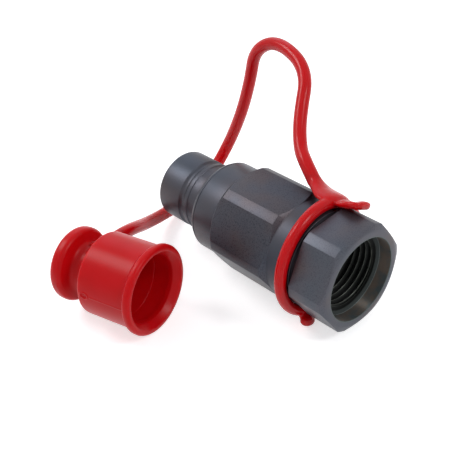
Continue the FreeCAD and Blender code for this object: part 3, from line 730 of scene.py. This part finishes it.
def cut_flats(piece):
    """Cuts off everything outside a hexagon about the axis."""
    for k in range(6):
        angle = math.radians(30 + 60 * k)
        outward = Vector((0, math.cos(angle), math.sin(angle)))
        start_edit(piece)
        bpy.ops.mesh.bisect(
            plane_co=outward * (HEX_FLATS / 2 * MM),
            plane_no=outward,
            use_fill=True,
            clear_outer=True,
            threshold=TIGHT,
        )
        end_edit()
    start_edit(piece)
    bpy.ops.mesh.remove_doubles(threshold=0.02 * MM)
    end_edit()


def soften_edges(piece, width=0.12, degrees=20):
    bevel = piece.modifiers.new("soft_edges", "BEVEL")
    bevel.width = width * MM
    bevel.segments = 2
    bevel.limit_method = "ANGLE"
    bevel.angle_limit = math.radians(degrees)
    apply_modifiers(piece)


def refinish(piece, material, along, radii):
    """Gives a second finish to the faces between two places along the axis and two radii."""
    piece.data.materials.append(material)
    for face in piece.data.polygons:
        centre = face.center / MM
        radius = math.hypot(centre.y, centre.z)
        if along[0] < centre.x < along[1] and radii[0] < radius < radii[1]:
            face.material_index = 1


cut_flats(nose)
soften_edges(nose)
smooth_shade(nose, degrees=25)
use(nose, plated_steel)
# Painted shade: the relief's faces get the nearly black finish
refinish(
    nose, relief_painted_shade_steel,
    along=(-RELIEF_BACK - MARGIN, MARGIN - PARTING),
    radii=(RELIEF - 2 * MARGIN, NECK - MARGIN),
)
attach(nose, "coupler")
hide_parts("nose_body")
print("body with flats", len(nose.data.polygons), "faces")

# %% [markdown]
# ## Port adapter
#
# The rear hexagon carries the female port and screws into the body. Its outline is spun in the same
# way. The stretch of the bore that carries the thread gets many rows of vertices.

# %% Port adapter
THREAD_FRONT = 4.3
THREAD_BACK = 16.6
THREAD_ROWS = 120


def thread_stretch():
    """Points of the bore between the end of the thread and its lead-in, ready to be displaced."""
    places = np.linspace(THREAD_BACK, THREAD_FRONT, THREAD_ROWS)
    return [(-place, THREAD_CREST) for place in places]


PORT_OUTLINE = rounded([
    (-4.2, 10.6),
    (-3.6, MOUTH, 0.1),
    (0.0, MOUTH, EDGE),
    (0.0, 13.1, EDGE / 2),
    (-0.78, HEX_CORNER, EDGE),
    (-PARTING, HEX_CORNER, EDGE),
    (-PARTING, 12.0),
    (-17.2, 12.0),
    (-17.6, 11.6),
    (-17.6, 10.0),
    (-18.9, 10.0),
    (-18.9, 8.65),
    (-21.9, 8.65),
    (-21.9, 10.0),
    (-23.1, 10.0),
    (-23.5, 9.6),
    (-23.5, 7.2, EDGE),
    (-18.2, 7.2),
]) + thread_stretch()

port = turned("port_piece", PORT_OUTLINE, steps=192)
cut_flats(port)
soften_edges(port)

# %% [markdown]
# ## Thread of the port
#
# A thread could be a profile swept along a helix and cut out, which leaves thin faces at both ends.
# Here each vertex of the bore moves outwards by the depth of the thread at its place on the helix,
# so the thread can fade at both ends. The pitch is that of a half-inch parallel pipe thread, 14
# turns to the inch. The wall of the mouth then gets its turned finish.

# %% Thread of the port
THREAD_PITCH = 25.4 / 14
THREAD_ROOT = 10.48
THREAD_PHASE = 0.14  # turns, so that the first crest stands where the photograph has it
THREAD_SHARPNESS = 0.96  # at 1 the flanks would meet in an edge
PLAIN_END = 0.6  # the last stretch of the bore has no thread
RUNOUT = 1.6  # and over this length the thread fades
LEAD_RADIUS = 10.5
LEAD_SLOPE = 4.6
MOUTH_WALL = (-3.5, -EDGE)  # between the step at its bottom and the rounded edge in front
MOUTH_REACH = MOUTH + 0.02
NEAR = 0.01  # millimetres: a vertex as close as this lies on a place or a radius


def thread_depth(points):
    """Radius of the thread at each vertex: a wave along the helix, faded at both ends."""
    along = -points[:, 0]
    turn = np.arctan2(points[:, 2], points[:, 1]) / math.tau
    wave = np.sin(math.tau * (along / THREAD_PITCH + turn + THREAD_PHASE))
    flank = np.arcsin(THREAD_SHARPNESS * wave) / math.asin(THREAD_SHARPNESS)
    radius = (THREAD_ROOT + THREAD_CREST) / 2 + (THREAD_ROOT - THREAD_CREST) / 2 * flank
    runout = np.clip((THREAD_BACK - PLAIN_END - along) / RUNOUT, 0, 1)
    radius = THREAD_CREST + (radius - THREAD_CREST) * runout
    lead = LEAD_RADIUS - (along - THREAD_FRONT) * LEAD_SLOPE
    return np.maximum(radius, lead)


def cut_thread(piece):
    points = get_points(piece)
    radius = np.hypot(points[:, 1], points[:, 2])
    on_thread = (
        (np.abs(radius - THREAD_CREST) < NEAR)
        & (-points[:, 0] > THREAD_FRONT - NEAR)
        & (-points[:, 0] < THREAD_BACK - NEAR)
    )
    moved = points[on_thread]
    grow = thread_depth(moved) / radius[on_thread]
    moved[:, 1] *= grow
    moved[:, 2] *= grow
    points[on_thread] = moved
    set_points(piece, points)
    print("thread vertices", int(on_thread.sum()))


cut_thread(port)
smooth_shade(port, degrees=40)
use(port, tapped_steel)
refinish(port, turned_mouth, along=MOUTH_WALL, radii=(0, MOUTH_REACH))
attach(port, "coupler")
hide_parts("port_adapter")

# %% [markdown]
# ## Dust cap
#
# The cap has a rounded lip, a chamber with a bead that snaps on the nose, a neck and a knob, all in
# one outline. The side gets more rows of points where a mark of the mould will be pressed in.

# %% Dust cap
CAP_RADIUS = 11.5
CAP_OUTLINE = rounded([
    (-15.4, 0.0),
    (-15.4, 9.5, 1.0),
    (-8.1, 9.5, 0.1),
    (-8.1, 9.7, 0.15),
    (-4.2, 9.6, 0.8),
    (-3.0, 9.35, 0.4),
    (-1.8, 9.35, 0.4),
    (0.0, 10.85, 0.35),
    (0.0, 12.45, 0.95),
    (-2.3, 12.45, 0.95),
    (-2.3, CAP_RADIUS, 0.5),
    (-17.6, CAP_RADIUS, 0.9),
    (-17.6, 6.3, 1.5),
    (-23.4, 6.3, 2.2),
    (-24.6, 10.35, 1.5),
    (-28.4, 10.35, 1.85),
    (-28.4, 0.0),
], steps=8)
GATE_MARK_ROWS = (-12.6, -16.6, 0.12)  # from, to and how far apart


def add_rows(outline, radius, start, end, gap):
    """Adds evenly spaced points to the straight stretch of an outline at one radius."""
    for i, point in enumerate(outline):
        after = outline[(i + 1) % len(outline)]
        level = max(abs(point[1] - radius), abs(after[1] - radius)) < NEAR
        if level and point[0] > start and after[0] < end:
            rows = [(x, radius) for x in np.arange(start, end, -gap)]
            return outline[:i + 1] + rows + outline[i + 1:]
    return outline


cap = turned("cap_moulding", add_rows(CAP_OUTLINE, CAP_RADIUS, *GATE_MARK_ROWS), steps=320)

# %% [markdown]
# ## Marks of the mould on the cap
#
# The moulding tool leaves two marks on the side. The gate mark is a shallow oval: vertices inside
# it are pressed in, and those round it stand proud. The parting line runs from there to the lip, as
# one row of vertices that is raised. They are geometry and not bump, so that they stay in the
# exported mesh. The cap is then turned to where it lies, and its place goes into the mesh.

# %% Marks of the mould on the cap
CAP_PLACE = Vector((-40.26, -33.58, -3.93))
CAP_TURN = math.radians(14.58)
GATE_MARK_AT = 15.0
GATE_MARK_ANGLE = math.radians(171)
GATE_MARK_HALF = (1.25, 0.85)  # along the axis and across it
GATE_MARK_DEPTH = 0.2
GATE_MARK_RIM = 0.22
PARTING_LINE = 0.11  # height of the line where the mould halves meet
PARTING_LINE_BACK = -13.3
ON_LINE = 0.1  # reach across the line, under half the distance between two rows of vertices


def press_mould_marks(piece):
    """Presses the gate mark in and raises its rim and the parting line."""
    points = get_points(piece)
    angle = np.arctan2(points[:, 2], points[:, 1])
    across = (angle - GATE_MARK_ANGLE) * CAP_RADIUS
    along = points[:, 0] + GATE_MARK_AT
    # The oval is 0 in the centre of the mark and 1 on its edge
    oval = (along / GATE_MARK_HALF[0]) ** 2 + (across / GATE_MARK_HALF[1]) ** 2
    radius = np.hypot(points[:, 1], points[:, 2])
    sunk = np.clip((0.7 - oval) / 0.4, 0, 1)
    rim = np.clip(1 - np.abs(oval - 1.1) / 0.5, 0, 1)
    seam = (np.abs(across) < ON_LINE) & (points[:, 0] > PARTING_LINE_BACK)
    depth = GATE_MARK_DEPTH * sunk - GATE_MARK_RIM * rim - PARTING_LINE * seam
    depth *= np.abs(radius - CAP_RADIUS) < NEAR
    points[:, 1] *= 1 - depth / np.maximum(radius, 1)
    points[:, 2] *= 1 - depth / np.maximum(radius, 1)
    set_points(piece, points)


press_mould_marks(cap)
cap.rotation_euler = (0, 0, CAP_TURN)
cap.location = CAP_PLACE * MM
settle(cap)
smooth_shade(cap, degrees=40)
use(cap, dull_red_pvc)
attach(cap, "lanyard")
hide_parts("dust_cap")
print("cap lies", round(math.degrees(CAP_TURN), 1), "degrees off the coupler's axis")

# %% [markdown]
# ## Root of the cord on the cap
#
# The cord grows out of the cap's neck with a flare. A plain end pushed into the neck would show a
# hard corner, so a cylinder is cut into rows, and each row is scaled by a curve that widens towards
# the neck.

# %% Root of the cord on the cap
ROOT_START = Vector((-21.06, 1.5, 4.694))
ROOT_END = Vector((-21.06, 12.5, 2.45))
FLARE = 0.25  # how much wider the root is where it leaves the neck
FLARE_FROM = 2.4
FLARE_LENGTH = 0.9


def cut_into_rows(piece, cuts, longer_than):
    """Cuts a standing cylinder across: only its edges along Z, the long ones, are subdivided."""
    start_edit(piece, "DESELECT")
    bpy.ops.mesh.select_mode(type="EDGE")
    end_edit()
    for edge in piece.data.edges:
        ends = [piece.data.vertices[i].co.z for i in edge.vertices]
        edge.select = abs(ends[0] - ends[1]) > longer_than * MM
    bpy.ops.object.mode_set(mode="EDIT")
    bpy.ops.mesh.subdivide(number_cuts=cuts)
    end_edit()


def make_cap_root():
    line = ROOT_END - ROOT_START
    bpy.ops.object.select_all(action="DESELECT")
    bpy.ops.mesh.primitive_cylinder_add(
        vertices=48, radius=CORD_DIAMETER / 2 * MM, depth=line.length * MM,
    )
    piece = bpy.context.object
    piece.name = piece.data.name = "cap_cord_root"
    cut_into_rows(piece, cuts=24, longer_than=1)
    points = get_points(piece)
    distance = points[:, 2] + line.length / 2
    grow = 1 + FLARE * np.exp(-np.maximum(distance - FLARE_FROM, 0) / FLARE_LENGTH)
    points[:, 0] *= grow
    points[:, 1] *= grow
    set_points(piece, points)
    piece.rotation_mode = "QUATERNION"
    piece.rotation_quaternion = line.to_track_quat("Z", "Y")
    piece.location = (ROOT_START + line / 2) * MM
    settle(piece)
    piece.rotation_mode = "XYZ"
    piece.rotation_euler = (0, 0, CAP_TURN)
    piece.location = CAP_PLACE * MM
    settle(piece)
    return piece


cap_root = make_cap_root()
smooth_shade(cap_root, degrees=40)
use(cap_root, dull_red_pvc)
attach(cap_root, "lanyard")
print("root", len(cap_root.data.polygons), "faces")

# %% [markdown]
# ## Strap and tab of the lanyard ring
#
# Ring, strap, pull tab and nub are one moulding with soft transitions. Union booleans would join
# them with hard corners, so each form is made by itself and remeshed with the others later.
#
# Strap and tab are lofts: a table gives their width and thickness at some stations along them, a
# cylinder is cut into rows, and each row moves to its place on smooth curves through the table.

# %% Strap and tab of the lanyard ring
TAB_RECESS = 0.65
TAB_RECESS_ENDS = (5.7, 11.0)
TAB_RECESS_HALF = 2.45
TAB_RECESS_WALLS = (0.4, 1.2, 0.35)  # width of its sloping walls at the tip, root and sides

# Stations: distance behind the port, height, half width, half thickness, how square the section is
STRAP = np.array([
    (12.1, 15.40, 3.20, 0.45, 2.2),
    (12.7, 15.75, 4.40, 0.90, 2.2),
    (13.6, 15.95, 4.90, 1.10, 2.2),
    (14.6, 16.00, 5.20, 1.15, 2.2),
    (15.6, 16.00, 5.30, 1.18, 2.2),
    (16.6, 16.04, 5.10, 1.18, 2.2),
    (17.8, 16.10, 4.60, 1.22, 2.2),
    (19.0, 16.24, 3.95, 1.32, 2.2),
    (20.2, 16.48, 3.25, 1.46, 2.2),
    (21.6, 16.92, 2.50, 1.68, 2.1),
    (23.0, 17.60, 1.95, 1.88, 2.0),
    (24.4, 18.65, 1.75, 1.75, 2.0),
])
TAB = np.array([
    (5.0, 17.22, 1.50, 0.58, 3.2),
    (5.3, 17.20, 2.40, 0.90, 3.2),
    (5.8, 17.16, 2.95, 1.12, 3.2),
    (6.6, 17.05, 3.35, 1.18, 3.2),
    (7.6, 16.78, 3.45, 1.17, 3.2),
    (9.0, 16.27, 3.30, 1.08, 3.2),
    (10.3, 15.75, 3.15, 0.84, 3.0),
    (11.4, 15.52, 3.05, 0.80, 2.8),
    (13.2, 15.30, 3.00, 0.80, 2.6),
])


def smooth_curve(places, knots, heights):
    """Curve through the knots that neither overshoots nor has corners (monotone cubic)."""
    steps = np.diff(knots)
    slopes = np.diff(heights) / steps
    same = slopes[1:] * slopes[:-1] > 0
    total = np.where(same, slopes[1:] + slopes[:-1], 1)
    inner = np.where(same, 2 * slopes[1:] * slopes[:-1] / total, 0)
    tangents = np.concatenate(([slopes[0]], inner, [slopes[-1]]))
    i = np.clip(np.searchsorted(knots, places) - 1, 0, len(steps) - 1)
    t = (places - knots[i]) / steps[i]
    return (
        heights[i] * (1 + 2 * t) * (1 - t) ** 2
        + tangents[i] * steps[i] * t * (1 - t) ** 2
        + heights[i + 1] * t ** 2 * (3 - 2 * t)
        + tangents[i + 1] * steps[i] * t ** 2 * (t - 1)
    )


def inside_recess(x, side):
    """1 inside the recess on top of the tab and 0 outside it, with sloping walls between."""
    tip, root = TAB_RECESS_ENDS
    at_tip, at_root, at_side = TAB_RECESS_WALLS
    lengthwise = np.clip((x - tip) / at_tip, 0, 1) * np.clip((root - x) / at_root, 0, 1)
    return lengthwise * np.clip((TAB_RECESS_HALF - np.abs(side)) / at_side, 0, 1)


def loft(stations, rows=110, sides=72):
    """A cylinder cut into rows, each moved to its place, width and thickness in the table."""
    bpy.ops.object.select_all(action="DESELECT")
    bpy.ops.mesh.primitive_cylinder_add(vertices=sides, radius=MM, depth=MM)
    piece = bpy.context.object
    cut_into_rows(piece, cuts=rows, longer_than=0.5)
    points = get_points(piece)
    places = stations[:, 0]
    x = places[-1] + (places[0] - places[-1]) * (points[:, 2] + 0.5)
    height, width, thickness, squareness = (
        smooth_curve(x, places, column) for column in stations[:, 1:].T
    )
    angle = np.arctan2(points[:, 1], points[:, 0])
    power = 2 / squareness
    side = width * np.sign(np.cos(angle)) * np.abs(np.cos(angle)) ** power
    lift = thickness * np.sign(np.sin(angle)) * np.abs(np.sin(angle)) ** power
    step = 0.01
    before, after = (smooth_curve(x + away, places, stations[:, 1]) for away in (-step, step))
    tilt = np.arctan((after - before) / (2 * step))
    along = -x + lift * np.sin(tilt)
    radius = height + lift * np.cos(tilt)
    radius -= TAB_RECESS * inside_recess(x, side) * (lift > 0)
    turn = side / height
    set_points(piece, np.column_stack((along, radius * np.sin(turn), radius * np.cos(turn))))
    return piece


ring_forms = [loft(STRAP), loft(TAB)]
print("strap and tab", [len(form.data.polygons) for form in ring_forms], "faces")

# %% [markdown]
# ## Nub of the lanyard ring
#
# Opposite the strap a small nub stands on the ring, to push it off the neck with a thumb. A ball
# stretched across gives its rounded end, and a short flattened cylinder joins it to the ring.

# %% Nub of the lanyard ring
NUB_RADIUS = 1.55
NUB_CENTRE = (-11.35, -0.15, -16.88)
NUB_STRETCH = 1.6
LINK_RADIUS = 1.45
LINK_LENGTH = 3.0
LINK_CENTRE = (-12.5, 0, -15.95)
LINK_TURN = math.radians(130)
LINK_STRETCH = 1.5


def make_nub():
    """A stretched ball, and the flattened cylinder that links it to the ring."""
    bpy.ops.object.select_all(action="DESELECT")
    bpy.ops.mesh.primitive_uv_sphere_add(
        segments=48, ring_count=24, radius=NUB_RADIUS * MM,
        location=[value * MM for value in NUB_CENTRE],
    )
    ball = bpy.context.object
    ball.scale = (1, NUB_STRETCH, 1)
    settle(ball)
    bpy.ops.object.select_all(action="DESELECT")
    bpy.ops.mesh.primitive_cylinder_add(
        vertices=32, radius=LINK_RADIUS * MM, depth=LINK_LENGTH * MM,
        location=[value * MM for value in LINK_CENTRE], rotation=(0, LINK_TURN, 0),
    )
    link = bpy.context.object
    settle(link)
    link.scale = (1, LINK_STRETCH, 1)
    settle(link)
    return [ball, link]


ring_forms += make_nub()
print("forms to join with the ring:", len(ring_forms))

# %% [markdown]
# ## Lanyard ring
#
# The ring itself is a torus. A voxel remesh joins it with the strap, the tab and the nub into one
# skin, and a few smoothing steps round the inner corners, as the moulding has them. The strap pulls
# its part of the ring back, so the points lean a little before the ring is turned to its place.

# %% Lanyard ring
RING_AT = 13.7
RING_WIRE = 1.5
RING_PLAY = 0.05
RING_CENTRE = NECK + RING_PLAY + RING_WIRE
RING_TURN = math.radians(-30)
VOXEL = 0.16
SMOOTHING_STEPS = 14
SMOOTHED = 0.05  # what the smoothing steps take off a thin round form
LEAN = 0.7  # the strap pulls the top of the ring back by this much
FOOT = 0.15  # and its foot comes forward by this much
CORD_END = -22.5  # nothing leans from here on, so that the strap meets the cord
LEAN_FADE = 5.0


def make_ring():
    bpy.ops.object.select_all(action="DESELECT")
    bpy.ops.mesh.primitive_torus_add(
        major_segments=160, minor_segments=40,
        major_radius=RING_CENTRE * MM, minor_radius=(RING_WIRE + SMOOTHED) * MM,
        location=(-RING_AT * MM, 0, 0), rotation=(0, math.pi / 2, 0),
    )
    ring = bpy.context.object
    ring.name = ring.data.name = "ring_moulding"
    settle(ring)
    bpy.ops.object.select_all(action="DESELECT")
    for form in (ring, *ring_forms):
        form.select_set(True)
    bpy.context.view_layer.objects.active = ring
    bpy.ops.object.join()
    remesh = ring.modifiers.new("one_skin", "REMESH")
    remesh.mode = "VOXEL"
    remesh.voxel_size = VOXEL * MM
    smooth = ring.modifiers.new("soft_corners", "SMOOTH")
    smooth.factor = 0.5
    smooth.iterations = SMOOTHING_STEPS
    apply_modifiers(ring)
    points = get_points(ring)
    height = np.clip((points[:, 2] + RING_CENTRE) / (2 * RING_CENTRE), 0, 1)
    free = np.clip((points[:, 0] - CORD_END) / LEAN_FADE, 0, 1)
    points[:, 0] -= (LEAN * height ** 4 - FOOT * (1 - height)) * free
    set_points(ring, points)
    ring.rotation_euler = (RING_TURN, 0, 0)
    settle(ring)
    return ring


ring = make_ring()
smooth_shade(ring, degrees=60)
use(ring, red_pvc)
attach(ring, "lanyard")
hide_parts("lanyard_ring")
print("ring", len(ring.data.polygons), "faces")

# %% [markdown]
# ## Floor and surround
#
# A plain pale floor carries the coupler on its lanyard ring and the lip of the cap, under an even
# surround. The background looks white to the camera and in reflections, and lights the object no
# more for that: Light Path tells those rays from the ones that carry light.

# %% Floor and surround
FLOOR_HEIGHT = -16.45
FLOOR_GLOW = 0.6  # what the floor adds on background rays to look white
SURROUND = linear("#EDEFF4")
SURROUND_LIGHT = 0.5


def background_ray(tree):
    """1 on rays that show the background: from the camera, in gloss and through glass."""
    path = add_node(tree, "ShaderNodeLightPath")
    gloss = add_node(
        tree, "ShaderNodeMath", {"operation": "MAXIMUM"},
        {0: path.outputs["Is Glossy Ray"], 1: path.outputs["Is Transmission Ray"]},
    )
    return add_node(
        tree, "ShaderNodeMath", {"operation": "MAXIMUM"},
        {0: path.outputs["Is Camera Ray"], 1: gloss.outputs["Value"]},
    ).outputs["Value"]


def make_floor():
    bpy.ops.object.select_all(action="DESELECT")
    bpy.ops.mesh.primitive_plane_add(size=4, location=(0, 0, FLOOR_HEIGHT * MM))
    floor = bpy.context.object
    floor.name = floor.data.name = "studio_floor"
    settle(floor)
    # Painted board: pale, matt and even
    material, tree, shader = new_material("pale_floor", {
        "Base Color": linear("#F2F2F2"),
        "Roughness": 0.9,
        "Emission Color": (1, 1, 1, 1),
    })
    shown = add_node(
        tree, "ShaderNodeMath", {"operation": "MULTIPLY"},
        {0: background_ray(tree), 1: FLOOR_GLOW},
    )
    tree.links.new(shown.outputs["Value"], shader.inputs["Emission Strength"])
    floor.data.materials.append(material)


def make_surround():
    world = bpy.data.worlds.new("studio")
    bpy.context.scene.world = world
    world.use_nodes = True
    tree = world.node_tree
    seen = background_ray(tree)
    colour = blend(tree, "MIX", seen, SURROUND, linear("#FFFFFF"))
    strength = add_node(
        tree, "ShaderNodeMapRange", None,
        {"Value": seen, "To Min": SURROUND_LIGHT, "To Max": 1.0},
    )
    background = tree.nodes["Background"]
    tree.links.new(colour, background.inputs["Color"])
    tree.links.new(strength.outputs["Result"], background.inputs["Strength"])


make_floor()
make_surround()
print("floor at", FLOOR_HEIGHT, "mm, surround at", SURROUND_LIGHT)

# %% [markdown]
# ## Lamps
#
# The light is that of a small product studio. A soft lamp above on the left lights the edges and
# the upper flats, a large faint bluish one stands behind, and a small one on the port's side shines
# into the mouth. A single sun would give hard shadows instead. The lamps are set so that a colour
# renders about as it is written.

# %% Lamps
LAMP_AIM = Vector((-0.035, 0, 0))


def add_lamp(name, direction, distance, size, power, tint="#FFFFFF"):
    data = bpy.data.lights.new(name, "AREA")
    data.color = linear(tint)[:3]
    data.shape = "DISK"
    data.size = size
    data.energy = power
    lamp = bpy.data.objects.new(name, data)
    bpy.context.scene.collection.objects.link(lamp)
    away = Vector(direction).normalized()
    lamp.location = LAMP_AIM + away * distance
    lamp.rotation_euler = (-away).to_track_quat("-Z", "Y").to_euler()


add_lamp("left_softbox", (-0.62, -0.28, 0.74), distance=0.6, size=0.25, power=1.3)
add_lamp("back_softbox", (-0.62, 0.5, 0.6), distance=0.7, size=0.45, power=0.4, tint="#D6E6FF")
add_lamp("port_softbox", (0.7, 0.2, 0.68), distance=0.6, size=0.15, power=0.9)
bpy.context.scene.view_settings.view_transform = "Standard"
print("lamps:", ", ".join(light.name for light in bpy.data.lights))
